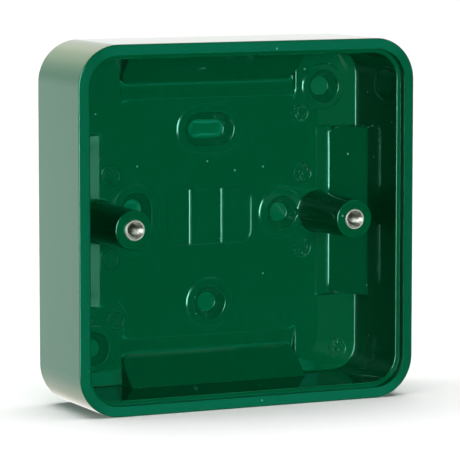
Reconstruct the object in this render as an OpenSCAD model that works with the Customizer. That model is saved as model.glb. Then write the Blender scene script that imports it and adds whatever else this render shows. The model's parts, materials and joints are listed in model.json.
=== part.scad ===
// Surface back box of a manual call point: one square, open-fronted moulding
// and the two metal threaded inserts pressed into its pillars.
// The rear face lies in the plane Y = 0, the opening faces -Y, +Z is up.

/* [Box] */
// Width and height of the square outline
box_size = 91; // [88:0.5:100]
// Depth from the wall to the front rim
box_depth = 27; // [25:0.5:50]
// Radius of the four outer corners
corner_r = 10.5; // [8:0.5:14]
// Thickness of the side walls
wall_t = 3.8; // [3.5:0.1:4.4]
// Thickness of the floor
floor_t = 2.6; // [2.4:0.1:4]

/* [Rim] */
// Width of the front rim's flat face
rim_t = 2.65; // [1.5:0.05:3]
// Depth of the step inside the rim
rebate_depth = 2.1; // [0.5:0.1:3]

/* [Screw pillars] */
// Distance between the two screw centres
screw_spacing = 60.3; // [60.3:0.1:61]
// Diameter of a pillar at its free end
pillar_end_d = 9.8; // [8.5:0.1:10.4]
// Diameter of a pillar where it meets the floor
pillar_base_d = 10.5; // [9:0.1:10.5]
// How far the pillar ends lie below the rim
pillar_drop = 2.5; // [1:0.1:5]
// Length of the hole under an insert that clears the screw's tip
screw_relief_len = 6; // [2:0.5:8]
// Diameter of that hole
screw_relief_d = 3.8; // [3.6:0.1:4.5]

/* [Threaded inserts] */
// Outer diameter of an insert
insert_d = 5.2; // [4.8:0.1:6]
// Length of an insert
insert_len = 8; // [6:0.5:9]
// Core diameter of the M3.5 thread
thread_core_d = 3.0; // [2.8:0.05:3.2]
// Diameter of the countersunk mouth
mouth_d = 4.3; // [3.6:0.1:4.5]
// How far the left insert stands proud of its pillar
left_proud = 0.7; // [0:0.1:1]
// How far the right insert stands proud of its pillar
right_proud = 0.2; // [0:0.1:1]
// Number of straight grip flutes round an insert
flute_count = 20; // [12:1:24]
// Radius of a flute
flute_r = 0.18; // [0.1:0.01:0.25]
// Width of the retaining groove round the middle of an insert
groove_w = 1.2; // [0.5:0.1:2]
// Depth of the retaining groove
groove_depth = 0.35; // [0.1:0.05:0.5]

/* [Entry ramps] */
// Distance from the centre to the start of the sloping recess
recess_start = 30.2; // [30:0.1:30.6]
// Distance from the centre to the bottom of the recess
valley_at = 34; // [33:0.1:35]
// Depth of the recess below the floor
valley_depth = 1.6; // [0.5:0.1:1.6]
// Height on the wall, above the floor, that a ramp reaches
ramp_height = 6.6; // [4:0.1:9]
// Half the length of the ramps on the left and right walls
side_ramp_half = 21.8; // [19:0.1:22]
// Half the length of the ramps on the top and bottom walls
end_ramp_half = 24.2; // [20:0.1:24.4]
// Radius of a ramp's corners, seen from the front
ramp_corner_r = 3.5; // [1:0.1:4]
// Thickness of a ramp over the hollow behind it
ramp_skin = 2; // [1.6:0.1:3]
// Thickness of the outer wall beside that hollow
break_out_t = 2.4; // [2:0.1:3]

/* [Wall fixings] */
// Distance of the left and right fixings from the centre
side_fixing = 20.4; // [20:0.1:20.5]
// Distance of the top and bottom fixings from the centre
end_fixing = 22.1; // [20:0.1:22.5]
// Distance of the two corner fixings from the centre, both ways
corner_fixing = 32.1; // [31.5:0.1:33]
// Diameter of the raised ring round a main fixing
ring_d = 13; // [11:0.1:13]
// Diameter of the raised ring round a corner fixing
corner_ring_d = 12; // [10:0.1:13]
// Height of the raised rings
ring_h = 0.3; // [0.1:0.05:0.5]
// Diameter of the countersink's mouth
sink_d = 8.4; // [7:0.1:8.4]
// Diameter of the screw hole left to break open
knockout_d = 5; // [4:0.1:5.5]
// Thickness of the membrane that closes each screw hole
membrane_t = 0.4; // [0.3:0.05:0.8]
// Depth of the short straight hole above the membrane
knockout_depth = 0.45; // [0.4:0.05:0.6]
// Distance between the end centres of a slotted fixing
slot_travel = 5; // [2:0.5:6]
// Width of the thin tear line in a slotted fixing
tear_w = 2; // [1:0.1:3]
// Depth of the thin tear line
tear_depth = 0.15; // [0.05:0.05:0.2]

/* [Rear cable knock-out] */
// Width of the knock-out panel
panel_w = 23.4; // [20:0.1:25]
// Height of the knock-out panel
panel_h = 14.2; // [12:0.1:16]
// Corner radius of the panel
panel_r = 3.1; // [1:0.1:5]
// Depth of the panel's face below the floor
panel_sink = 0.25; // [0.1:0.05:0.5]
// Position of the left bead
left_bead_x = -4.9; // [-7:0.1:-3]
// Position of the right bead
right_bead_x = 3.9; // [2:0.1:6]
// Radius of the beads
bead_r = 0.75; // [0.4:0.05:1]
// Height of the beads' tops above the floor
bead_rise = 0.1; // [0.05:0.05:0.4]
// Width of the break line on the rear face
break_line_w = 0.9; // [0.5:0.1:1.5]
// Depth of the break line
break_line_depth = 1.5; // [0.5:0.1:1.8]
// Width of the two bridges that interrupt the break line
bridge_w = 3; // [1:0.5:8]

/* [Moulding marks] */
// Diameter of the ejector marks
mark_d = 5; // [3:0.1:5]
// Diameter of the one small mark
small_mark_d = 2.5; // [1:0.1:2.5]
// Height of the raised marks
mark_rise = 0.12; // [0.05:0.01:0.2]
// Depth of the sunk marks
mark_sink = 0.15; // [0.05:0.01:0.3]
// Depth of the faint second strike beside the right fixing
faint_sink = 0.07; // [0.03:0.01:0.1]

/* [Hidden] */
$fn = 96;
green = [0.01, 0.37, 0.24];
nickel = [0.72, 0.7, 0.64];
// Overshoot that keeps a cutting shape clear of the surface it cuts
cut = 1;
// How deep a raised shape is rooted in the material under it
root = 0.5;
half = box_size / 2;
inner_half = half - wall_t;
inner_r = corner_r - wall_t;
rim_half = half - rim_t;
rim_r = corner_r - rim_t;
pillar_x = screw_spacing / 2;
pillar_top = box_depth - pillar_drop;
valley_z = floor_t - valley_depth;
ramp_top = floor_t + ramp_height;
ramp_slope = (ramp_top - valley_z) / (inner_half - valley_at);
knockout_z = membrane_t + knockout_depth;
ring_top = floor_t + ring_h;
panel_z = floor_t - panel_sink;
// Positions of the marks, as [x, z]
raised_marks = [[-26.8, 11.3], [-27.4, -9.9], [-25.7, -25.1]];
sunk_marks = [[25.3, 25.4], [26.2, 10], [26.2, -9.3], [36.4, -36.1]];
small_mark = [-32.8, -24.7];
faint_mark = [24.7, 6.6];

// Everything is drawn flat, with x to the right, y up and z out of the wall,
// and then stood up so that z points along -Y.
module stand_up() rotate([90, 0, 0]) children();

// Flat outline between two heights above the rear face
module layer(from, to) translate([0, 0, from]) linear_extrude(to - from) children();

// Rectangle with true arcs at its corners
module rounded(w, h, r) {
    square([w - 2 * r, h], center = true);
    square([w, h - 2 * r], center = true);
    for (x = [-1, 1], y = [-1, 1])
        translate([x * (w / 2 - r), y * (h / 2 - r)]) circle(r);
}

// Slot whose end centres are travel apart; a travel of 0 gives a circle
module slot(d, travel) {
    if (travel > 0) square([travel, d], center = true);
    for (x = travel > 0 ? [-1, 1] : [0]) translate([x * travel / 2, 0]) circle(d / 2);
}

// Solid that narrows evenly from one slot outline to another
module tapered_slot(from, to, d_from, d_to, travel) {
    for (x = travel > 0 ? [-1, 1] : [0])
        translate([x * travel / 2, 0, from]) cylinder(h = to - from, d1 = d_from, d2 = d_to);
    if (travel > 0)
        rotate([90, 0, 90])
            translate([0, 0, -travel / 2])
                linear_extrude(travel)
                    polygon([[-d_from / 2, from], [d_from / 2, from], [d_to / 2, to], [-d_to / 2, to]]);
}

// Square tub: floor, walls and the step inside the rim
module tub() difference() {
    layer(0, box_depth) rounded(box_size, box_size, corner_r);
    layer(floor_t, box_depth + cut) rounded(2 * inner_half, 2 * inner_half, inner_r);
    layer(box_depth - rebate_depth, box_depth + cut) rounded(2 * rim_half, 2 * rim_half, rim_r);
}

// Puts its child against each wall in turn: x then points out to the wall.
// The child reads the ramp's half length from $ramp_half.
module each_wall() {
    for (side = [0 : 3]) {
        $ramp_half = side % 2 == 0 ? side_ramp_half : end_ramp_half;
        rotate([0, 0, 90 * side]) children();
    }
}

// Profile in the x-z plane drawn out along the wall
module along_wall(half_len) rotate([90, 0, 0]) translate([0, 0, -half_len])
    linear_extrude(2 * half_len) children();

// Hollow in the floor in front of a wall, falling to the valley
module floor_recess() along_wall($ramp_half)
    polygon([
        [recess_start, floor_t], [valley_at, valley_z], [inner_half, valley_z],
        [inner_half, floor_t + cut], [recess_start, floor_t + cut]
    ]);

// Ramp from the valley up to the wall, with rounded corners
module ramp() intersection() {
    along_wall($ramp_half)
        polygon([
            [valley_at, valley_z], [inner_half, ramp_top], [inner_half + root, ramp_top],
            [inner_half + root, valley_z - root], [valley_at, valley_z - root]
        ]);
    layer(0, box_depth) translate([valley_at + inner_half / 2, 0])
        rounded(inner_half, 2 * $ramp_half, ramp_corner_r);
}

// Hollow behind a ramp, open to the rear
module rear_hollow() {
    drop = ramp_skin * sqrt(1 + ramp_slope * ramp_slope);
    foot = valley_at + (drop - valley_z) / ramp_slope;
    wall = half - break_out_t;
    along_wall($ramp_half - ramp_corner_r)
        polygon([
            [foot, 0], [wall, (wall - foot) * ramp_slope], [wall, -cut], [foot, -cut]
        ]);
}

// Tapered pillar with a seat for its insert and a relief hole for the screw
module pillar(x) translate([x, 0, 0]) difference() {
    translate([0, 0, valley_z - root])
        cylinder(h = pillar_top - valley_z + root, d1 = pillar_base_d, d2 = pillar_end_d);
    translate([0, 0, pillar_top - insert_len]) cylinder(h = insert_len + cut, d = insert_d);
    translate([0, 0, pillar_top - insert_len - screw_relief_len])
        cylinder(h = screw_relief_len + cut, d = screw_relief_d);
}

// Places a wall fixing: child drawn at the origin, slots lying along x
module at_fixing(x, z, angle = 0) translate([x, z, 0]) rotate([0, 0, angle]) children();

// Raised ring round a fixing
module ring(d, travel = 0) layer(floor_t - root, ring_top) slot(d, travel);

// Countersunk hole closed by a membrane at the rear face
module countersink(travel = 0) {
    sink_depth = (sink_d - knockout_d) / 2;
    layer(membrane_t, ring_top + cut) slot(knockout_d, travel);
    tapered_slot(knockout_z, knockout_z + sink_depth, knockout_d, sink_d, travel);
    layer(knockout_z + sink_depth, ring_top + cut) slot(sink_d, travel);
    if (travel > 0) layer(membrane_t - tear_depth, ring_top) slot(tear_w, travel);
}

// Cable knock-out: sunk panel, and the break line behind it
module panel_face() layer(panel_z, floor_t + cut) rounded(panel_w, panel_h, panel_r);
module break_line() layer(-cut, break_line_depth) difference() {
    rounded(panel_w, panel_h, panel_r);
    rounded(panel_w - 2 * break_line_w, panel_h - 2 * break_line_w, panel_r - break_line_w);
    square([bridge_w, box_size], center = true);
}

// Round bead across the panel
module bead(x) intersection() {
    translate([x, panel_h / 2, floor_t + bead_rise - bead_r])
        rotate([90, 0, 0]) cylinder(h = panel_h, r = bead_r);
    layer(floor_t - bead_r, ring_top) square([box_size, panel_h], center = true);
}

// Short disc for the moulding marks
module disc(at, d, from, to) translate([at[0], at[1], 0]) layer(from, to) circle(d / 2);

module sunk_details() {
    for (at = sunk_marks) disc(at, mark_d, floor_t - mark_sink, floor_t + cut);
    disc(faint_mark, mark_d, floor_t - faint_sink, floor_t + cut);
    panel_face();
    each_wall() floor_recess();
}

module raised_details() {
    for (at = raised_marks) disc(at, mark_d, floor_t - root, floor_t + mark_rise);
    disc(small_mark, small_mark_d, floor_t - root, floor_t + mark_rise);
    for (x = [left_bead_x, right_bead_x]) bead(x);
    at_fixing(0, end_fixing) ring(ring_d, slot_travel);
    at_fixing(-side_fixing, 0, 90) ring(ring_d, slot_travel);
    at_fixing(0, -end_fixing) ring(ring_d);
    at_fixing(side_fixing, 0) ring(ring_d);
    for (side = [-1, 1]) at_fixing(side * corner_fixing, side * corner_fixing) ring(corner_ring_d);
}

module wall_fixings() {
    at_fixing(0, end_fixing) countersink(slot_travel);
    at_fixing(-side_fixing, 0, 90) countersink(slot_travel);
    at_fixing(0, -end_fixing) countersink();
    at_fixing(side_fixing, 0) countersink();
    for (side = [-1, 1]) at_fixing(side * corner_fixing, side * corner_fixing) countersink();
}

module back_box() color(green) stand_up() union() {
    difference() {
        union() {
            difference() {
                tub();
                sunk_details();
            }
            raised_details();
            each_wall() ramp();
        }
        wall_fixings();
        break_line();
        each_wall() rear_hollow();
    }
    for (x = [-pillar_x, pillar_x]) pillar(x);
}

// Ring-shaped groove round an insert
module retaining_groove(middle) translate([0, 0, middle - groove_w / 2]) difference() {
    cylinder(h = groove_w, d = insert_d + cut);
    cylinder(h = groove_w, d = insert_d - 2 * groove_depth);
}

// Straight flutes that stop the insert turning in the plastic
module flutes(from, to) for (i = [0 : flute_count - 1])
    rotate([0, 0, 360 * i / flute_count])
        translate([insert_d / 2, 0, from]) cylinder(h = to - from, r = flute_r);

module threaded_insert(x, proud) color(nickel) stand_up() translate([x, 0, 0]) {
    foot = pillar_top - insert_len + proud;
    face = foot + insert_len;
    mouth_depth = (mouth_d - thread_core_d) / 2;
    difference() {
        translate([0, 0, foot]) cylinder(h = insert_len, d = insert_d);
        translate([0, 0, foot - cut]) cylinder(h = insert_len + 2 * cut, d = thread_core_d);
        translate([0, 0, face - mouth_depth])
            cylinder(h = mouth_depth, d1 = thread_core_d, d2 = mouth_d);
        retaining_groove(foot + insert_len / 2);
        flutes(foot - cut, foot + insert_len / 2);
    }
}

module threaded_insert_left() threaded_insert(-pillar_x, left_proud);
module threaded_insert_right() threaded_insert(pillar_x, right_proud);

back_box();
threaded_insert_left();
threaded_insert_right();
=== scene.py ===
"""Looks of the call point's back box: rounded glossy moulding, threaded inserts, floor, light and camera."""

import json
import math

import bmesh
import bpy
import numpy as np
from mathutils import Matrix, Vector
from mathutils.geometry import delaunay_2d_cdt

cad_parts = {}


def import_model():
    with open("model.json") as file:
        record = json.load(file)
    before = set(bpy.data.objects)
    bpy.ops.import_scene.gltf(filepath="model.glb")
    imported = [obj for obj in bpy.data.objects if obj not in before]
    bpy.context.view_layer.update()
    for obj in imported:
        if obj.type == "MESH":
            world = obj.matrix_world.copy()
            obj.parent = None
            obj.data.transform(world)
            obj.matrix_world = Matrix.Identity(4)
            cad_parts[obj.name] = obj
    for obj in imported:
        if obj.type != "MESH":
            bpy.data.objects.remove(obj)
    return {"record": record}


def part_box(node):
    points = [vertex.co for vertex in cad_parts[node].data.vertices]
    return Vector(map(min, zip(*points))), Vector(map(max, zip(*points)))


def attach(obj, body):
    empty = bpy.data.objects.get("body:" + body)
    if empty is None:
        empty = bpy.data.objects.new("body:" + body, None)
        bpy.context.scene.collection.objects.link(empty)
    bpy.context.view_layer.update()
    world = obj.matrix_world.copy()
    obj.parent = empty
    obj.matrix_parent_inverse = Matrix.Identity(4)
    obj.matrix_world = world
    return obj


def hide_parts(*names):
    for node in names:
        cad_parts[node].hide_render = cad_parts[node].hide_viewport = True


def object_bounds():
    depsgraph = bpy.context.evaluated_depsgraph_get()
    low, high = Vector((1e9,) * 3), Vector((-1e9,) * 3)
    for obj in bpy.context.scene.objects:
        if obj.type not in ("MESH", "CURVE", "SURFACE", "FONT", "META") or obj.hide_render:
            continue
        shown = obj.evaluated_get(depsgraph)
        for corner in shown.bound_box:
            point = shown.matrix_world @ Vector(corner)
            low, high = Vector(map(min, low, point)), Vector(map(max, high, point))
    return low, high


MM = 0.001

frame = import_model()
cad_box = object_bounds()


def mount(name):
    """A mount of the CAD record."""
    return next(m for m in frame["record"]["mounts"] if m["name"] == name)


def flat_place(name):
    """Where a mount lies in the front view, in millimetres."""
    x, _, z = mount(name)["pos_m"]
    return (round(x / MM, 3), round(z / MM, 3))


# ---------------------------------------------------------------- sizes, in millimetres
# The box is seen from the front: x to the right, y up, h the height above the rear face.
# outer shape, walls, floor, rim and the ledge inside the rim
low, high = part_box("back_box")
DEPTH = round(-low.y / MM, 3)
HALF = round(high.x / MM, 3)
CORNER_R = 10.5
WALL = 3.8
FLOOR = 2.6
RIM = 2.65
LEDGE = DEPTH - 2.1
INNER = HALF - WALL
INNER_R = CORNER_R - WALL
RIM_HALF = HALF - RIM
RIM_R = CORNER_R - RIM
# at each wall: the floor falls to a valley, then a ramp rises to the wall
RECESS_AT = 30.2
RECESS_END = 39.5
VALLEY_AT = 34.0
VALLEY = 1.0
RAMP_TOP = FLOOR + 6.6
SIDE_HALF = 21.8
END_HALF = 24.2
RAMP_R = 3.5
RAMP_FRONT = VALLEY_AT - 0.4
RAMP_FAR = 50.0
RAMP_END = HALF - 1
FALL = math.atan2(FLOOR - VALLEY, VALLEY_AT - RECESS_AT)
RISE = math.atan2(RAMP_TOP - VALLEY, INNER - VALLEY_AT)
# the hollow behind each ramp
RAMP_SKIN = 2.0
HOLLOW_END = HALF - 2.4
HOLLOW_FOOT = VALLEY_AT + (RAMP_SKIN / math.cos(RISE) - VALLEY) / math.tan(RISE)
# screw pillars with the inserts' seats and the relief holes below them
PILLAR_AT = mount("call_point_screws")["dims"]["spacing_x_mm"] / 2
PILLAR_TOP = 24.5
PILLAR_FROM = 0.5
PILLAR_R0 = 5.25
PILLAR_R1 = 4.9
SEAT_R = 2.6
SEAT_FLOOR = 16.5
RELIEF_R = 1.9
RELIEF_FLOOR = 10.5
# wall fixings: raised ring, countersink, screw hole and its membrane with a tear line
RING_TOP = FLOOR + 0.3
SINK_D = 8.4
HOLE_D = 5.0
HOLE_TOP = 0.85
MEMBRANE = 0.4
TEAR_D = 2.0
TEAR_FLOOR = MEMBRANE - 0.15
RING_D = 13
CORNER_RING_D = 12
TRAVEL = 5
TOP_FIXING = flat_place("top_wall_slot")
LEFT_FIXING = flat_place("left_wall_slot")
CORNER_AT = round(mount("corner_wall_screws")["dims"]["pcd_mm"] / 2 * math.sqrt(0.5), 2)
# for each fixing: centre, ring diameter, slot travel, turned upright
FIXINGS = [
    (TOP_FIXING, RING_D, TRAVEL, False),
    (LEFT_FIXING, RING_D, TRAVEL, True),
    ((0.0, -TOP_FIXING[1]), RING_D, 0, False),
    ((-LEFT_FIXING[0], 0.0), RING_D, 0, False),
    ((CORNER_AT, CORNER_AT), CORNER_RING_D, 0, False),
    ((-CORNER_AT, -CORNER_AT), CORNER_RING_D, 0, False),
]
# cable panel: half width, half height, corner radius; its floor and its two beads
PANEL = (11.7, 7.1, 3.1)
PANEL_FLOOR = 2.35
BEADS = (-4.9, 3.9)
BEAD_R = 0.75
BEAD_CENTRE = 1.95
# break line behind the panel, interrupted by two bridges
BREAK_LINE_W = 0.9
BREAK_LINE_DEPTH = 1.5
BRIDGE_HALF = 1.5
# ejector marks: sunk discs, and raised ones shown by a thin lip
MARK_D = 5.0
SUNK = [(25.3, 25.4), (26.2, 10), (26.2, -9.3), (36.4, -36.1)]
SUNK_FLOOR = FLOOR - 0.28
LIP_R = 0.32
LIPS = [
    ((-26.8, 11.3), MARK_D),
    ((-27.4, -9.9), MARK_D),
    ((-25.7, -25.1), MARK_D),
    ((-32.8, -24.7), MARK_D / 2),
]
# fall of the rim's face towards its outer edge
RIM_FALL = math.tan(math.radians(4))
# radii of the roundings
RIM_OUT, RIM_IN, LEDGE_EDGE, LEDGE_IN, WALL_FOOT = 0.3, 0.05, 0.3, 0.05, 0.6
RING_EDGE, RING_FOOT, MOUTH_EDGE, HOLE_FOOT, HOLE_EDGE = 0.6, 0.14, 0.3, 0.2, 0.25
MARK_EDGE, PANEL_EDGE, TEAR_EDGE = 0.13, 0.2, 0.1
RAMP_EDGE, RAMP_FOOT, RAMP_WALL = 0.5, 0.65, 0.15
CHEEK_EDGE, START_EDGE, RECESS_FOOT = 0.45, 0.04, 0.5
# where a fillet changes: towards the wall, across a ramp's end, and at a ramp's rounded corner
FOOT_WIDE_TO = 35
FOOT_SMALL_FROM = 37
END_CHANGE = (-0.6, 0.2)
CORNER_CHANGE = (-RAMP_R, 1.5 - RAMP_R)
CORNER_AHEAD = (VALLEY_AT, VALLEY_AT + 1)
CORNER_CUT = 0.9
CHEEK_CHANGE = (2.4, 0.4)
PILLAR_EDGE, PILLAR_FOOT, SEAT_EDGE, SEAT_FOOT = 0.4, 0.6, 0.15, 0.1
REAR_OUT, REAR_EDGE, BREAK_EDGE = 0.5, 0.15, 0.1
# the ring is lower than its rounding, so its foot lies this far inside its outline
RING_IN = RING_EDGE - math.sqrt(RING_EDGE ** 2 - (RING_EDGE - RING_TOP + FLOOR) ** 2)


# ---------------------------------------------------------------- rounded shapes
# Flat and solid shapes are signed distances in millimetres, negative inside.


def blend(value, start, end):
    """Goes smoothly from 0 at start to 1 at end, and is level before and after."""
    t = np.clip((value - start) / (end - start), 0, 1)
    return t * t * (3 - 2 * t)


def rectangle(x, y, half_x, half_y, r):
    """Rectangle with round corners."""
    dx = np.abs(x) - half_x + r
    dy = np.abs(y) - half_y + r
    return np.hypot(np.maximum(dx, 0), np.maximum(dy, 0)) + np.minimum(np.maximum(dx, dy), 0) - r


def slot(x, y, d, travel=0.0):
    """Slot along x; without travel it is a circle."""
    return np.hypot(np.maximum(np.abs(x) - travel / 2, 0), y) - d / 2


def both(a, b, r):
    """Where both shapes are, with the edge between them rounded."""
    return np.minimum(-r, np.maximum(a, b)) + np.hypot(np.maximum(r + a, 0), np.maximum(r + b, 0))


def either(a, b, r):
    """Where either shape is, with a fillet between them."""
    return np.maximum(r, np.minimum(a, b)) - np.hypot(np.maximum(r - a, 0), np.maximum(r - b, 0))


def without(a, b, r):
    """The first shape without the second, with the edge between them rounded."""
    return both(a, -b, r)


def walls(x, y):
    """For each wall: distance out towards it, distance along it, half length of its ramp."""
    return [(x, y, SIDE_HALF), (y, x, END_HALF), (-x, y, SIDE_HALF), (-y, x, END_HALF)]


def ramp_half(wall):
    """Half length of a wall's ramp, by the wall's number."""
    return SIDE_HALF if wall % 2 == 0 else END_HALF


def along_slot(x, y, fixing):
    """Flat coordinates from a fixing's centre, the first one along its slot."""
    (cx, cy), _, _, upright = fixing
    return (y - cy, x - cx) if upright else (x - cx, y - cy)


# ---------------------------------------------------------------- front side of the box


def recess(u, s, h, half):
    """The fall of the floor before a ramp, down to the valley."""
    slope = -((h - FLOOR) * math.cos(FALL) + (u - RECESS_AT) * math.sin(FALL))
    bottom = both(slope, VALLEY - h, RECESS_FOOT)
    return both(bottom, both(np.abs(s) - half, u - RECESS_END, RECESS_FOOT), RECESS_FOOT)


def recess_edge(s, half):
    """Radius of a recess's edge: sharp where the fall starts, round at its cheeks."""
    return START_EDGE + (CHEEK_EDGE - START_EDGE) * blend(half - np.abs(s), *CHEEK_CHANGE)


def ramp(u, s, h, half):
    """One ramp, which ends inside the wall."""
    middle = (RAMP_FAR + RAMP_FRONT) / 2
    flat = rectangle(u - middle, s, RAMP_FAR - middle, half, RAMP_R)
    plane = (h - VALLEY) * math.cos(RISE) - (u - VALLEY_AT) * math.sin(RISE)
    return np.maximum(both(flat, plane, RAMP_EDGE), u - RAMP_END)


def ramp_fillet(u, s, half):
    """Radius of a ramp's foot: round in the valley and at the ends, small at the corners and the wall."""
    past_end = np.abs(s) - half
    wide = np.maximum(blend(u, FOOT_SMALL_FROM, FOOT_WIDE_TO), blend(past_end, *END_CHANGE))
    corner = blend(past_end, *CORNER_CHANGE) * blend(u, *CORNER_AHEAD)
    return RAMP_WALL + (RAMP_FOOT - RAMP_WALL) * wide * (1 - CORNER_CUT * corner)


def countersink(flat, h):
    """A fixing's hole; flat is the distance from the screw's centre or from its line of travel."""
    hole = both(flat - HOLE_D / 2, MEMBRANE - h, HOLE_FOOT)
    cone = (flat - HOLE_D / 2 - (h - HOLE_TOP)) * math.sqrt(0.5)
    return either(hole, both(flat - SINK_D / 2, cone, HOLE_EDGE), HOLE_EDGE)


def cavity(x, y, h):
    """The open inside of the box, with the recesses, sunk marks and the sunk panel."""
    space = both(rectangle(x, y, INNER, INNER, INNER_R), FLOOR - h, WALL_FOOT)
    rebate = both(rectangle(x, y, RIM_HALF, RIM_HALF, RIM_R), LEDGE - h, LEDGE_IN)
    space = either(space, rebate, LEDGE_EDGE)
    for u, s, half in walls(x, y):
        space = either(space, recess(u, s, h, half), recess_edge(s, half))
    for cx, cy in SUNK:
        space = either(space, both(slot(x - cx, y - cy, MARK_D), SUNK_FLOOR - h, MARK_EDGE), MARK_EDGE)
    return either(space, both(rectangle(x, y, *PANEL), PANEL_FLOOR - h, PANEL_EDGE), PANEL_EDGE)


def raised_on_floor(solid, x, y, h):
    """Adds the panel's beads, the lips of the raised marks, the fixings' rings and the ramps."""
    for cx in BEADS:
        bead = both(np.hypot(x - cx, h - BEAD_CENTRE) - BEAD_R, np.abs(y) - PANEL[1], PANEL_EDGE)
        solid = either(solid, bead, PANEL_EDGE)
    for (cx, cy), d in LIPS:
        lip = np.hypot(slot(x - cx, y - cy, d - 2 * LIP_R), h - FLOOR) - LIP_R
        solid = either(solid, lip, MARK_EDGE)
    for fixing in FIXINGS:
        outline = slot(*along_slot(x, y, fixing), fixing[1], fixing[2])
        solid = either(solid, both(outline - RING_IN, h - RING_TOP, RING_EDGE), RING_FOOT)
    for u, s, half in walls(x, y):
        solid = either(solid, ramp(u, s, h, half), ramp_fillet(u, s, half))
    return solid


def fixing_holes(solid, x, y, h):
    """Cuts the countersinks, and the tear lines of the slots."""
    for fixing in FIXINGS:
        travel = fixing[2]
        flat = slot(*along_slot(x, y, fixing), 0, travel)
        solid = without(solid, countersink(flat, h), MOUTH_EDGE)
        if travel:
            solid = without(solid, both(flat - TEAR_D / 2, TEAR_FLOOR - h, TEAR_EDGE), TEAR_EDGE)
    return solid


def pillars(solid, x, y, h):
    """Adds the two tapered pillars and bores them for the inserts and the screws' ends."""
    taper = (PILLAR_R0 - PILLAR_R1) / (PILLAR_TOP - PILLAR_FROM)
    for side in (-1, 1):
        r = np.hypot(x - side * PILLAR_AT, y)
        cone = r - PILLAR_R0 + taper * (h - PILLAR_FROM)
        solid = either(solid, both(cone, h - PILLAR_TOP, PILLAR_EDGE), PILLAR_FOOT)
        solid = without(solid, both(r - SEAT_R, SEAT_FLOOR - h, SEAT_FOOT), SEAT_EDGE)
        solid = without(solid, both(r - RELIEF_R, RELIEF_FLOOR - h, SEAT_FOOT), SEAT_FOOT)
    return solid


def front(x, y, h):
    """The box as seen from the front."""
    outline = rectangle(x, y, HALF, HALF, CORNER_R)
    solid = both(outline, h - DEPTH + RIM_FALL * (outline + RIM), RIM_OUT)
    solid = without(solid, cavity(x, y, h), RIM_IN)
    solid = raised_on_floor(solid, x, y, h)
    solid = fixing_holes(solid, x, y, h)
    return pillars(solid, x, y, h)


# ---------------------------------------------------------------- rear side of the box


def rear(x, y, h):
    """The box as seen from the wall: flat, with hollow ramps and the panel's break line."""
    solid = both(rectangle(x, y, HALF, HALF, CORNER_R), -h, REAR_OUT)
    for u, s, half in walls(x, y):
        under = (h - (u - HOLLOW_FOOT) * math.tan(RISE)) * math.cos(RISE)
        hollow = both(under, u - HOLLOW_END, REAR_EDGE)
        solid = without(solid, both(hollow, np.abs(s) - half + RAMP_R, REAR_EDGE), REAR_EDGE)
    band = np.maximum(rectangle(x, y, *PANEL), -rectangle(x, y, *[v - BREAK_LINE_W for v in PANEL]))
    line = both(np.maximum(band, BRIDGE_HALF - np.abs(x)), h - BREAK_LINE_DEPTH, BREAK_EDGE)
    return without(solid, line, BREAK_EDGE)


# ---------------------------------------------------------------- flat lines for the mesh
# a steep wall is crossed by two lines that lie this far to its sides
HAIR = 0.01
# points per quarter turn of large, middle, small and tiny outlines
LARGE, MIDDLE, SMALL, TINY = 16, 12, 10, 6
# greatest distance between points along straight stretches
WIDE_STEP = 3
FINE_STEP = 1.5
RING_STEP = 2.5


def steps(r, count=5):
    """Distances from a wall at which a rounding of radius r turns by equal angles."""
    return [r * (1 - math.sin(math.pi / 2 * (1 - i / count))) for i in range(count + 1)]


def around(inner_r, outer_r):
    """Offsets on both sides of a wall: a rounding inside the line and one outside it."""
    return [-HAIR - t for t in steps(inner_r)] + [HAIR + t for t in steps(outer_r)]


def across(r, count):
    """Offsets across a round rib of radius r, at equal angles from one side to the other."""
    return [r * math.sin(math.pi / 2 * k / count) for k in range(-count, count + 1)]


def rows(stops, spacing):
    """Values from the first stop to the last, through all stops, at most one spacing apart."""
    out = [stops[0]]
    for a, b in zip(stops, stops[1:]):
        n = max(1, math.ceil((b - a) / spacing))
        out += [a + (b - a) * (i + 1) / n for i in range(n)]
    return out


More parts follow.
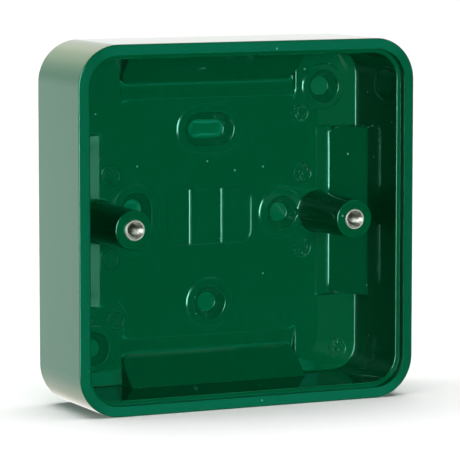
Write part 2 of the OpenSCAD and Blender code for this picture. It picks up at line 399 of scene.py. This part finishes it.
class Drawing:
    """Flat lines that the surface mesh follows."""

    def __init__(self):
        self.points = []
        self.edges = []

    def line(self, points, closed=False):
        """A line through the points; returns their numbers."""
        first = len(self.points)
        self.points += [tuple(p) for p in points]
        n = len(points)
        self.edges += [(first + i, first + (i + 1) % n) for i in range(n if closed else n - 1)]
        return list(range(first, first + n))

    def loop(self, centre, half_x, half_y, r, grow=0.0, turn=8, spacing=6.0):
        """Closed rounded rectangle, grown outwards by grow."""
        hx, hy, r = half_x + grow, half_y + grow, r + grow
        corners = [(1, 1, 0), (-1, 1, 1), (-1, -1, 2), (1, -1, 3)]
        pts = []
        for sx, sy, quarter in corners:
            for i in range(turn + 1):
                a = math.pi / 2 * (quarter + i / turn)
                x = centre[0] + sx * (hx - r) + r * math.cos(a)
                y = centre[1] + sy * (hy - r) + r * math.sin(a)
                pts.append((x, y))
        full = []
        for i, p in enumerate(pts):
            q = pts[(i + 1) % len(pts)]
            gap = math.dist(p, q)
            if gap < 1e-5:
                continue
            parts = max(1, math.ceil(gap / spacing))
            for k in range(parts):
                full.append((p[0] + (q[0] - p[0]) * k / parts, p[1] + (q[1] - p[1]) * k / parts))
        return self.line(full, closed=True)

    def box_loop(self, half, r, grow):
        """Closed square with round corners round the middle of the box."""
        return self.loop((0, 0), half, half, r, grow, LARGE)

    def ring(self, centre, d, grow, turn=MIDDLE, travel=0, upright=False):
        """Closed circle, or slot, grown outwards by grow."""
        r = d / 2
        half = (r, r + travel / 2) if upright else (r + travel / 2, r)
        return self.loop(centre, *half, r, grow, turn, RING_STEP)

    def wall_line(self, wall, points):
        """Line in one wall's own coordinates: distance out towards it, distance along it."""
        c, s = math.cos(math.pi / 2 * wall), math.sin(math.pi / 2 * wall)
        self.line([(u * c - v * s, u * s + v * c) for u, v in points])


def outline_lines(d):
    """Lines of the outer edge, the rim, the ledge and the walls; returns the outer edge."""
    outer = d.box_loop(HALF, CORNER_R, 0)
    for t in steps(RIM_OUT)[1:]:
        d.box_loop(HALF, CORNER_R, -t)
    for g in around(LEDGE_IN, RIM_IN):
        d.box_loop(RIM_HALF, RIM_R, g)
    for g in around(WALL_FOOT, LEDGE_EDGE):
        d.box_loop(INNER, INNER_R, g)
    return outer


def fixing_lines(d):
    """Lines of the wall fixings."""
    edge = [RING_IN - t for t in steps(RING_EDGE, 8)]
    foot = [-0.1, -0.05, 0.0, 0.05, 0.1, 0.2]
    for c, dia, travel, upright in FIXINGS:
        for g in edge + foot:
            d.ring(c, dia, g, LARGE, travel, upright)
        for g in around(HOLE_EDGE, MOUTH_EDGE):
            d.ring(c, SINK_D, g, MIDDLE, travel, upright)
        for g in around(HOLE_FOOT, HOLE_EDGE):
            d.ring(c, HOLE_D, g, MIDDLE, travel, upright)
        if travel:
            for g in around(TEAR_EDGE, TEAR_EDGE):
                d.ring(c, TEAR_D, g, TINY, travel, upright)


def floor_lines(d):
    """Lines of the ejector marks and of the cable panel with its beads."""
    for c in SUNK:
        for g in around(MARK_EDGE, MARK_EDGE):
            d.ring(c, MARK_D, g, SMALL)
    beside = [-2 * LIP_R - 0.08, 0.08]
    over = [-LIP_R + t for t in across(LIP_R, 4)]
    for c, dia in LIPS:
        for g in beside + over:
            d.ring(c, dia, g, SMALL)
    for g in around(PANEL_EDGE, PANEL_EDGE):
        d.loop((0, 0), *PANEL, g, spacing=WIDE_STEP)
    end = PANEL[1] - 2 * HAIR
    for cx in BEADS:
        for x in across(BEAD_R * 0.95, 5):
            d.line([(cx + x, -end), (cx + x, 0), (cx + x, end)])


def pillar_lines(d):
    """Lines of the screw pillars and their bores."""
    foot = [0.0] + [0.03 + t for t in steps(PILLAR_FOOT)]
    for side in (-1, 1):
        c = (side * PILLAR_AT, 0)
        for t in steps(PILLAR_EDGE):
            d.ring(c, 2 * PILLAR_R1 + HAIR, -t, LARGE)
        for g in foot:
            d.ring(c, 2 * (PILLAR_R0 - 0.04), g, LARGE)
        for g in around(SEAT_FOOT, SEAT_EDGE):
            d.ring(c, 2 * SEAT_R, g, MIDDLE)
        for g in around(SEAT_FOOT, SEAT_FOOT):
            d.ring(c, 2 * RELIEF_R, g, SMALL)


def ramp_lines(d, wall):
    """Lines of one wall's recess and ramp."""
    half = ramp_half(wall)
    start = [RECESS_AT + g for g in (-0.3, -0.1, -0.03, 0.03, 0.1, 0.3)]
    valley = [VALLEY_AT + g for g in (-0.6, -0.45, -0.3, -0.15, 0, 0.15, 0.3, 0.45, 0.63)]
    for u in start + valley:
        d.wall_line(wall, [(u, s) for s in rows([-half - HAIR, half + HAIR], WIDE_STEP)])
    ahead = rows([RECESS_AT - 1.5, VALLEY_AT + RAMP_R, INNER + HAIR / 2], FINE_STEP)
    quarter = [math.pi / 2 * i / MIDDLE for i in range(MIDDLE + 1)]
    for g in around(RAMP_FOOT, RAMP_FOOT) + [-0.06, 0.06, -0.2, 0.2]:
        r = RAMP_R + g
        arc = [(RAMP_R - r * math.cos(t), half - RAMP_R + r * math.sin(t)) for t in quarter]
        for side in (-1, 1):
            d.wall_line(wall, [(u, side * (half + g)) for u in ahead])
            d.wall_line(wall, [(RAMP_FRONT + u, side * s) for u, s in arc])


def front_lines():
    """All lines of the front surface, and the outer edge among them."""
    d = Drawing()
    outer = outline_lines(d)
    fixing_lines(d)
    floor_lines(d)
    pillar_lines(d)
    for wall in range(4):
        ramp_lines(d, wall)
    return d, outer


def rear_lines():
    """All lines of the rear surface, and the outer edge among them."""
    d = Drawing()
    outer = d.box_loop(HALF, CORNER_R, 0)
    for t in steps(REAR_OUT)[1:]:
        d.box_loop(HALF, CORNER_R, -t)
    past = 2 * REAR_EDGE
    ahead = rows([HOLLOW_FOOT - 0.5, HOLLOW_END + past], FINE_STEP)
    for wall in range(4):
        half = ramp_half(wall) - RAMP_R
        width = rows([-half - past, half + past], WIDE_STEP)
        for g in around(REAR_EDGE, REAR_EDGE):
            for side in (-1, 1):
                d.wall_line(wall, [(u, side * (half + g)) for u in ahead])
            d.wall_line(wall, [(HOLLOW_END + g, s) for s in width])
        for g in (-past, -REAR_EDGE, 0, REAR_EDGE, past):
            d.wall_line(wall, [(HOLLOW_FOOT + g, s) for s in width])
    break_lines(d)
    return d, outer


def break_lines(d):
    """Lines of the break line behind the cable panel, with its two bridges."""
    past = 2 * BREAK_EDGE
    for g in around(BREAK_EDGE, BREAK_EDGE):
        d.loop((0, 0), *PANEL, g, spacing=WIDE_STEP)
        d.loop((0, 0), *[v - BREAK_LINE_W for v in PANEL], g, spacing=WIDE_STEP)
    for side in (-1, 1):
        for g in around(BREAK_EDGE, BREAK_EDGE):
            for up in (-1, 1):
                x = side * (BRIDGE_HALF + g)
                d.line([(x, up * (PANEL[1] + past)), (x, up * (PANEL[1] - BREAK_LINE_W - past))])


# ---------------------------------------------------------------- the moulded box
# heights at which the surface is looked for, from the front down and from the rear up
FROM_FRONT = np.concatenate([[28.0], np.arange(26.9, 4, -0.5), np.arange(3.9, 0.2, -0.2), [0.1]])
FROM_REAR = np.concatenate([[-1.0], np.arange(0.1, 4, 0.2), np.arange(4.2, 12, 0.4)])
HALVINGS = 22
# neighbouring faces that turn by less than this are joined, in degrees
SAME_PLANE = 0.2
# flat places closer than this become one
MERGE = 1e-6


def settle(field, points, heights):
    """Height of the surface at each flat point: the first of heights inside, refined by halving."""
    x, y = points[:, 0], points[:, 1]
    outside = np.full(len(points), heights[0], float)
    inside = np.full(len(points), np.nan)
    todo = np.arange(len(points))
    for h in heights:
        hit = field(x[todo], y[todo], np.full(len(todo), h)) < 0
        inside[todo[hit]] = h
        todo = todo[~hit]
        outside[todo] = h
        if not len(todo):
            break
    inside[todo] = heights[-1]
    for _ in range(HALVINGS):
        middle = (outside + inside) / 2
        hit = field(x, y, middle) < 0
        inside = np.where(hit, middle, inside)
        outside = np.where(hit, outside, middle)
    return (outside + inside) / 2


def surface(drawing, field, heights, edge_height, flip):
    """Lifts the drawing's triangles to the solid's surface: vertices in metres, triangles, rim vertices."""
    lines, rim = drawing
    points = [Vector(p) for p in lines.points]
    flat, _, faces, origins, _, _ = delaunay_2d_cdt(points, lines.edges, [], 0, MERGE)
    flat = np.array([tuple(p) for p in flat])
    height = settle(field, flat, heights)
    place = {first: i for i, group in enumerate(origins) for first in group}
    rim = [place[i] for i in rim]
    height[rim] = edge_height
    corners = np.stack([flat[:, 0], -height, flat[:, 1]], axis=1) * MM
    faces = [f[::-1] if flip else f for f in faces]
    return corners, faces, rim


def box_mesh():
    """Closed mesh of the box: the front and rear surfaces and the outer wall between them."""
    rim_edge = DEPTH - RIM_FALL * RIM - RIM_OUT
    corners, faces, rim = surface(front_lines(), front, FROM_FRONT, rim_edge, False)
    more, back_faces, back_rim = surface(rear_lines(), rear, FROM_REAR, REAR_OUT, True)
    shift = len(corners)
    faces = faces + [[i + shift for i in f] for f in back_faces]
    n = len(rim)
    for i in range(n):
        k = (i + 1) % n
        faces.append([rim[i], back_rim[i] + shift, back_rim[k] + shift, rim[k]])
    mesh = bpy.data.meshes.new("moulded_box")
    mesh.from_pydata(np.concatenate([corners, more]).tolist(), [], faces)
    finish_mesh(mesh, SAME_PLANE)
    return mesh


def finish_mesh(mesh, flat_angle=None):
    """Turns all faces outwards and shades them smooth; flat_angle joins faces that lie in one plane."""
    bm = bmesh.new()
    bm.from_mesh(mesh)
    bmesh.ops.recalc_face_normals(bm, faces=bm.faces)
    if flat_angle:
        bmesh.ops.dissolve_limit(bm, angle_limit=math.radians(flat_angle), verts=bm.verts, edges=bm.edges)
    for f in bm.faces:
        f.smooth = True
    bm.to_mesh(mesh)
    bm.free()


def mark_matte(mesh):
    """Vertex attribute that is 1 on the ejector marks, for their sparked surface."""
    values = mesh.attributes.new("matte", "FLOAT", "POINT").data
    spots = [(m, MARK_D / 2) for m in SUNK] + [(m, d / 2 - 2 * LIP_R - 0.05) for m, d in LIPS]
    for i, v in enumerate(mesh.vertices):
        flat = (v.co.x / MM, v.co.z / MM)
        inside = any(math.dist(flat, centre) < r + HAIR / 2 for centre, r in spots)
        values[i].value = float(inside and -v.co.y / MM > FLOOR - 1)


def mark_thin(mesh):
    """Vertex attribute that is 1 on the membranes of the wall fixings, where painted light lightens the
    colour as if light came through.
    """
    values = mesh.attributes.new("thin", "FLOAT", "POINT").data
    for i, v in enumerate(mesh.vertices):
        x, y, h = v.co.x / MM, v.co.z / MM, -v.co.y / MM
        near = any(math.dist((x, y), c) < (HOLE_D + travel) / 2 for c, _, travel, _ in FIXINGS)
        values[i].value = float(near and 0 < h < HOLE_TOP)


def moulding():
    """The rounded box, standing for the CAD's sharp one."""
    mesh = box_mesh()
    mark_matte(mesh)
    mark_thin(mesh)
    obj = link(bpy.data.objects.new("moulded_box", mesh))
    normals = obj.modifiers.new("flat_faces", "WEIGHTED_NORMAL")
    normals.mode = "FACE_AREA"
    normals.weight = 50
    obj.data.materials.append(green_plastic())
    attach(obj, "root")
    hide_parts("back_box")
    return obj


def link(obj):
    """Puts an object in the scene."""
    bpy.context.scene.collection.objects.link(obj)
    return obj


# ---------------------------------------------------------------- threaded inserts
CORE_R = 1.5
THREAD_R = 1.75
PITCH = 0.6
ROWS_PER_TURN = 8
MOUTH_R = 2.15
# share of the pitch that is half a crest, and share that is one flank
CREST = 0.125
FLANK = 0.3125
# at the foot the bore opens by this much, in a 45 degree chamfer; its last row lies this far in
FOOT_CHAMFER = 0.3
FOOT_GAP = 0.02
FLUTES = 20
FLUTE_R = 0.18
GROOVE_W = 1.2
GROOVE_DEPTH = 0.35
INSERT_EDGE = 0.15
FACE_EDGE = 0.06
TURN = 120
SHARP_ANGLE = 35


def thread(angle, h):
    """Radius of the threaded bore: narrow crests, sloping flanks, a narrower root."""
    along = np.mod(h / PITCH - angle / (2 * math.pi), 1.0)
    depth = np.clip((np.abs(along - 0.5) - CREST) / FLANK, 0, 1)
    return CORE_R + (THREAD_R - CORE_R) * (1 - depth)


def fluted(angle, r):
    """Outer radius with the grip flutes cut in."""
    step = 2 * math.pi / FLUTES
    off = (np.mod(angle + step / 2, step) - step / 2) * r
    return r - np.sqrt(np.maximum(FLUTE_R ** 2 - off ** 2, 0))


def insert_profile(angle, foot, face, outer):
    """Rings of the insert, from its foot up the outside and down the bore: height and radii by angle."""
    middle, half = (face + foot) / 2, GROOVE_W / 2
    grip, plain = fluted(angle, outer), 0 * angle
    quarter = [math.pi / 2 * i / 4 for i in range(5)]
    rings = []
    for t in quarter:
        rings.append((foot + INSERT_EDGE * (1 - math.cos(t)), grip - INSERT_EDGE * (1 - math.sin(t))))
    rings.append((middle - half, grip))
    rings.append((middle - half + HAIR, plain + outer - GROOVE_DEPTH))
    rings.append((middle + half - HAIR, plain + outer - GROOVE_DEPTH))
    rings.append((middle + half, plain + outer))
    for t in quarter:
        edge = plain + outer - INSERT_EDGE * (1 - math.cos(t))
        rings.append((face - INSERT_EDGE * (1 - math.sin(t)), edge))
    for t in quarter:
        rings.append((face - FACE_EDGE * (1 - math.cos(t)), plain + MOUTH_R + FACE_EDGE * (1 - math.sin(t))))
    top, bottom = face - FACE_EDGE, foot + FOOT_GAP
    count = math.ceil((top - bottom) / PITCH * ROWS_PER_TURN)
    for i in range(1, count + 1):
        h = top + (bottom - top) * i / count
        cone = max(MOUTH_R - (top - h), CORE_R + FOOT_CHAMFER - (h - foot))
        rings.append((h, np.maximum(cone, thread(angle, h))))
    return rings


def ring_faces(count):
    """Quads between neighbouring rings, the last one joined to the first."""
    faces = []
    for j in range(count):
        k = (j + 1) % count
        for i in range(TURN):
            m = (i + 1) % TURN
            faces.append((j * TURN + i, j * TURN + m, k * TURN + m, k * TURN + i))
    return faces


def threaded_insert(name, node, material):
    """Brass insert turned round its axis: fluted and grooved outside, countersunk and threaded inside."""
    lo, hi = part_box(node)
    centre = (lo.x + hi.x) / 2
    angle = np.arange(TURN) * 2 * math.pi / TURN
    rings = insert_profile(angle, -hi.y / MM, -lo.y / MM, (hi.x - lo.x) / 2 / MM)
    corners = [
        (centre + r * MM * math.cos(t), -h * MM, r * MM * math.sin(t))
        for h, radii in rings for t, r in zip(angle, radii)
    ]
    mesh = bpy.data.meshes.new(name)
    mesh.from_pydata(corners, [], ring_faces(len(rings)))
    finish_mesh(mesh)
    mesh.set_sharp_from_angle(angle=math.radians(SHARP_ANGLE))
    obj = link(bpy.data.objects.new(name, mesh))
    obj.data.materials.append(material)
    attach(obj, "root")
    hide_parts(node)
    return obj


# ---------------------------------------------------------------- materials


class Nodes:
    """Short names for building a node tree."""

    def __init__(self, tree):
        self.tree = tree
        self.tree.nodes.clear()

    def add(self, kind, values=None, **settings):
        """A node; a value that is another node's output becomes a link."""
        node = self.tree.nodes.new("ShaderNode" + kind)
        for key, value in settings.items():
            setattr(node, key, value)
        for key, value in (values or {}).items():
            if isinstance(value, bpy.types.NodeSocket):
                self.tree.links.new(value, node.inputs[key])
            else:
                node.inputs[key].default_value = value
        return node


def new_material(name):
    """An empty material and the builder of its nodes."""
    material = bpy.data.materials.new(name)
    material.use_nodes = True
    return material, Nodes(material.node_tree)


def math_node(n, operation, *values):
    """One arithmetic node; returns its result."""
    return n.add("Math", dict(enumerate(values)), operation=operation).outputs[0]


def ramped(n, value, low, high, start=0.0, end=1.0):
    """Maps low..high of a value to start..end, smoothly."""
    ranges = {"Value": value, "From Min": low, "From Max": high, "To Min": start, "To Max": end}
    return n.add("MapRange", ranges, interpolation_type="SMOOTHSTEP").outputs["Result"]


def noise(n, place, scale, detail=2.0):
    """Noise of about 1/scale metres."""
    return n.add("TexNoise", {"Vector": place, "Scale": scale, "Detail": detail}).outputs["Fac"]


def two_tones(n, value, dark, light):
    """Colour between two tones."""
    tones = n.add("ValToRGB", {"Fac": value})
    tones.color_ramp.elements[0].color = (*dark, 1)
    tones.color_ramp.elements[1].color = (*light, 1)
    return tones.outputs["Color"]


def mixed(n, share, a, b):
    """Colour a with a share of colour b."""
    return n.add("Mix", {"Factor": share, "A": a, "B": (*b, 1)}, data_type="RGBA").outputs["Result"]


def dust(n, place):
    """Mask of a few scattered specks."""
    cells = n.add("TexVoronoi", {"Vector": place, "Scale": 260.0, "Randomness": 1.0})
    small = ramped(n, cells.outputs["Distance"], 0.05, 0.09, 1.0, 0.0)
    chance = n.add("SeparateColor", {"Color": cells.outputs["Color"]}).outputs[0]
    return math_node(n, "MULTIPLY", small, ramped(n, chance, 0.8, 0.81))


def scratches(n, place, turn, scale):
    """Mask of fine hairlines that run one way."""
    spun = n.add("Mapping", {"Vector": place, "Rotation": (0, turn, 0)}).outputs[0]
    drawn_out = n.add("Mapping", {"Vector": spun, "Scale": (scale, scale, scale * 0.03)}).outputs[0]
    lines = ramped(n, noise(n, drawn_out, 1.0), 0.68, 0.74)
    return math_node(n, "MULTIPLY", lines, ramped(n, noise(n, place, 70.0), 0.55, 0.68))


def plastic_colour(n, place, mottle, specks, hair):
    """Green that varies a little, with painted light on the thin membranes as if light shone through them,
    and with pale specks and hairlines.
    """
    green = two_tones(n, mottle, (0.0, 0.108, 0.036), (0.0, 0.124, 0.043))
    thin = n.add("Attribute", attribute_name="thin").outputs["Fac"]
    # painted light: the membranes' green is lightened as if light shone through them
    lit = mixed(n, thin, green, (0.0, 0.155, 0.06))
    pale = math_node(n, "MAXIMUM", specks, math_node(n, "MULTIPLY", hair, 0.14))
    return mixed(n, pale, lit, (0.14, 0.42, 0.3))


def plastic_relief(n, place, matte, specks, hair):
    """Slight swell of the moulding, with the scratches, the specks and the grain of the marks."""
    swell = math_node(n, "MULTIPLY", noise(n, place, 160.0), 0.35)
    relief = math_node(n, "ADD", swell, math_node(n, "MULTIPLY", hair, 0.05))
    relief = math_node(n, "ADD", relief, math_node(n, "MULTIPLY", specks, 0.4))
    grain = math_node(n, "MULTIPLY", ramped(n, noise(n, place, 1500.0), 0.5, 0.75), matte)
    relief = math_node(n, "ADD", relief, math_node(n, "MULTIPLY", grain, 9.0))
    return n.add("Bump", {"Height": relief, "Strength": 1.0, "Distance": 0.00003}).outputs["Normal"]


def green_plastic():
    """Glossy injection-moulded green; the green specular tint keeps its highlights saturated."""
    material, n = new_material("green_plastic")
    place = n.add("TexCoord").outputs["Object"]
    matte = n.add("Attribute", attribute_name="matte").outputs["Fac"]
    mottle = noise(n, place, 120.0, 4.0)
    specks = dust(n, place)
    hair = math_node(n, "MAXIMUM", scratches(n, place, 0.6, 900.0), scratches(n, place, -0.9, 700.0))
    gloss = ramped(n, mottle, 0.3, 0.7, 0.035, 0.06)
    gloss = math_node(n, "ADD", gloss, math_node(n, "MULTIPLY", matte, 0.02))
    shader = n.add("BsdfPrincipled", {
        "Base Color": plastic_colour(n, place, mottle, specks, hair),
        "Roughness": gloss,
        "IOR": 1.55,
        "Specular Tint": (0.35, 1.0, 0.8, 1),
        "Normal": plastic_relief(n, place, matte, specks, hair),
    })
    n.add("OutputMaterial", {"Surface": shader.outputs["BSDF"]})
    return material


def nickel():
    """Dull nickel plating with fine machining marks."""
    material, n = new_material("nickel")
    place = n.add("TexCoord").outputs["Object"]
    spots = noise(n, place, 1500.0, 3.0)
    shader = n.add("BsdfPrincipled", {
        "Base Color": two_tones(n, spots, (0.49, 0.56, 0.48), (0.77, 0.8, 0.71)),
        "Metallic": 1.0,
        "Roughness": ramped(n, spots, 0.3, 0.7, 0.3, 0.45),
        "Normal": n.add("Bump", {"Height": spots, "Strength": 1.0, "Distance": 0.00001}).outputs["Normal"],
    })
    n.add("OutputMaterial", {"Surface": shader.outputs["BSDF"]})
    return material


# ---------------------------------------------------------------- stage


def floor():
    """Pale floor, kept out of the gloss so that the moulding mirrors the studio only."""
    bpy.ops.mesh.primitive_plane_add(size=6, location=(0, 0, cad_box[0].z))
    obj = bpy.context.object
    material, n = new_material("studio_floor")
    shader = n.add("BsdfPrincipled", {"Base Color": (0.9, 0.9, 0.9, 1), "Roughness": 0.8})
    n.add("OutputMaterial", {"Surface": shader.outputs["BSDF"]})
    obj.data.materials.append(material)
    obj.visible_glossy = False
    obj.visible_diffuse = False
    return obj


# colour of the backdrop in reflections, by the upward part of the direction
BACKDROP = [
    (-0.9, (0.5, 0.5, 0.5)),
    (-0.42, (0.5, 0.45, 0.4)),
    (-0.2, (0.88, 0.89, 0.87)),
    (-0.1, (0.93, 0.94, 0.92)),
    (0.0, (0.85, 0.85, 0.84)),
    (0.1, (0.7, 0.69, 0.68)),
    (0.2, (0.72, 0.7, 0.66)),
    (0.42, (0.68, 0.6, 0.5)),
    (0.8, (0.85, 0.85, 0.83)),
]
BACKDROP_LEVEL = 1.5
MIDDLE_GAIN = 1.7
AMBIENT = 0.06


def backdrop_colour(n, upward):
    """Colour ramp of the backdrop."""
    height = n.add("MapRange", {"Value": upward, "From Min": -1.0, "From Max": 1.0}).outputs["Result"]
    sky = n.add("ValToRGB", {"Fac": height})
    stops = sky.color_ramp.elements
    for z, colour in BACKDROP:
        stops.new((z + 1) / 2).color = (*colour, 1)
    stops.remove(stops[-1])
    stops.remove(stops[0])
    return sky.outputs["Color"]


def world():
    """White room: even for soft light, bright behind the object in reflections."""
    w = bpy.data.worlds.new("studio")
    bpy.context.scene.world = w
    w.use_nodes = True
    n = Nodes(w.node_tree)
    way = n.add("SeparateXYZ", {0: n.add("TexCoord").outputs["Generated"]}).outputs
    path = n.add("LightPath").outputs
    behind = ramped(n, way["Y"], 0.0, 0.4, 0.0, BACKDROP_LEVEL)
    middle = ramped(n, math_node(n, "ABSOLUTE", way["X"]), 0.1, 0.4, MIDDLE_GAIN, 1.0)
    mirrored = math_node(n, "MULTIPLY", behind, middle)
    glossy = path["Is Glossy Ray"]
    levels = {"Factor": glossy, "A": AMBIENT, "B": mirrored}
    level = n.add("Mix", levels, data_type="FLOAT").outputs["Result"]
    seen = {"Factor": path["Is Camera Ray"], "A": level, "B": 1.0}
    strength = n.add("Mix", seen, data_type="FLOAT").outputs["Result"]
    colours = {"Factor": glossy, "A": (1, 1, 1, 1), "B": backdrop_colour(n, way["Z"])}
    tint = n.add("Mix", colours, data_type="RGBA").outputs["Result"]
    shine = n.add("Background", {"Color": tint, "Strength": strength})
    n.add("OutputWorld", {0: shine.outputs[0]})


# ---------------------------------------------------------------- lights
WHITE = (1, 1, 1)
TEAL = (0.15, 1.0, 0.9)


def only_on(light, targets):
    """Lets a light shine on these objects only; the others still cast their shadows on them."""
    receivers = bpy.data.collections.new(light.name + "_receivers")
    for obj in targets:
        receivers.objects.link(obj)
    light.light_linking.receiver_collection = receivers


def soften(data):
    """Lets an area light fade towards its edges, like a softbox."""
    data.use_nodes = True
    n = Nodes(data.node_tree)
    across = n.add("SeparateXYZ", {0: n.add("NewGeometry").outputs["Parametric"]}).outputs
    fade = 1.0
    for axis in ("X", "Y"):
        off = math_node(n, "ABSOLUTE", math_node(n, "SUBTRACT", across[axis], 0.5))
        fade = math_node(n, "MULTIPLY", fade, ramped(n, off, 0.2, 0.5, 1.0, 0.0))
    shine = n.add("Emission", {"Strength": fade})
    n.add("OutputLight", {0: shine.outputs[0]})


def area_light(name, way, reach, size, radiance, colour=WHITE):
    """Rectangular light that faces the object; way is azimuth from straight in front and elevation."""
    data = bpy.data.lights.new(name, "AREA")
    data.shape = "RECTANGLE"
    data.size, data.size_y = size
    data.energy = radiance * math.pi * size[0] * size[1]
    data.color = colour
    obj = link(bpy.data.objects.new(name, data))
    a, e = [math.radians(angle) for angle in way]
    away = Vector((math.sin(a) * math.cos(e), -math.cos(a) * math.cos(e), math.sin(e)))
    obj.location = Vector((0, cad_box[0].y, 0)) + away * reach
    obj.rotation_euler = away.to_track_quat("Z", "Y").to_euler()
    soften(data)
    return obj


def soft_light(*description):
    """A light that lights the surfaces but isn't mirrored in them."""
    obj = area_light(*description)
    obj.visible_glossy = False
    return obj


def mirrored_light(*description):
    """A light that is only mirrored in the surfaces."""
    obj = area_light(*description)
    obj.visible_diffuse = False
    return obj


def room_lights():
    """Soft light on everything: from the camera's side and from the left."""
    soft_light("front_soft", (-4, 0), 1.2, (0.5, 0.5), 38)
    soft_light("left_side", (-112, 0), 1.0, (0.6, 0.6), 20)


def box_lights(box):
    """Soft light on the hidden sides of the box, and the lights that are mirrored in its gloss."""
    for light in (
        soft_light("right_side", (112, 10), 1.0, (0.6, 0.6), 16),
        soft_light("above_behind", (180, 62), 1.0, (0.6, 0.6), 9),
        soft_light("behind", (180, 5), 1.2, (0.7, 0.7), 12),
        mirrored_light("left_strip", (-48, 10), 1.2, (0.55, 1.3), 26),
        mirrored_light("near_camera", (-15, 5), 1.3, (0.65, 1.4), 2.3),
        mirrored_light("above_right", (45, 48), 1.2, (0.9, 0.7), 0.7),
        mirrored_light("rim_left", (6, -6), 1.2, (0.5, 0.8), 0.9, TEAL),
        mirrored_light("rim_top", (26, 9), 1.2, (0.6, 0.35), 1.1, TEAL),
        mirrored_light("rim_bottom", (26, -20), 1.2, (0.6, 0.35), 1.2, TEAL),
        mirrored_light("rim_right", (38, -6), 1.2, (0.3, 0.6), 0.5, TEAL),
    ):
        only_on(light, [box])


def insert_lights(inserts):
    """Lights that are mirrored in the metal: in the faces, in the bores and from the side."""
    for light in (
        mirrored_light("insert_face", (25, -6), 1.2, (0.7, 0.7), 2.2),
        mirrored_light("insert_bore", (-33, 15), 1.2, (0.6, 0.6), 12.0),
        mirrored_light("insert_side", (-68, 0), 1.2, (0.5, 0.8), 6.0),
    ):
        only_on(light, inserts)


def floor_sun(floor_plane):
    """Even light from above for the floor only, with the object's soft shadow."""
    data = bpy.data.lights.new("floor_sun", "SUN")
    data.energy = 3.35
    data.angle = math.radians(70)
    only_on(link(bpy.data.objects.new("floor_sun", data)), [floor_plane])


# ---------------------------------------------------------------- camera
YAW = math.radians(24.89)
PITCH_DOWN = math.radians(6.40)
REACH = 0.7962
LENS = 252.4
# the aim lies this far left of and below the middle of the box's front
AIM_LEFT = 0.00503
AIM_DOWN = 0.00108


def camera():
    """Camera at the photo's viewing angle."""
    data = bpy.data.cameras.new("camera")
    data.lens = LENS
    data.sensor_width = 36
    data.clip_start = 0.01
    obj = link(bpy.data.objects.new("camera", data))
    level = math.cos(PITCH_DOWN)
    forward = Vector((math.sin(YAW) * level, math.cos(YAW) * level, -math.sin(PITCH_DOWN)))
    right = Vector((math.cos(YAW), -math.sin(YAW), 0))
    up = right.cross(forward)
    target = Vector((0, cad_box[0].y, 0)) - right * AIM_LEFT - up * AIM_DOWN
    obj.location = target - forward * REACH
    obj.rotation_euler = forward.to_track_quat("-Z", "Y").to_euler()
    bpy.context.scene.camera = obj


# ---------------------------------------------------------------- the scene
box = moulding()
metal = nickel()
inserts = [threaded_insert("insert_" + side, "threaded_insert_" + side, metal) for side in ("left", "right")]
stage_floor = floor()
world()
camera()
room_lights()
box_lights(box)
insert_lights(inserts)
floor_sun(stage_floor)
bpy.context.scene.view_settings.view_transform = "Standard"
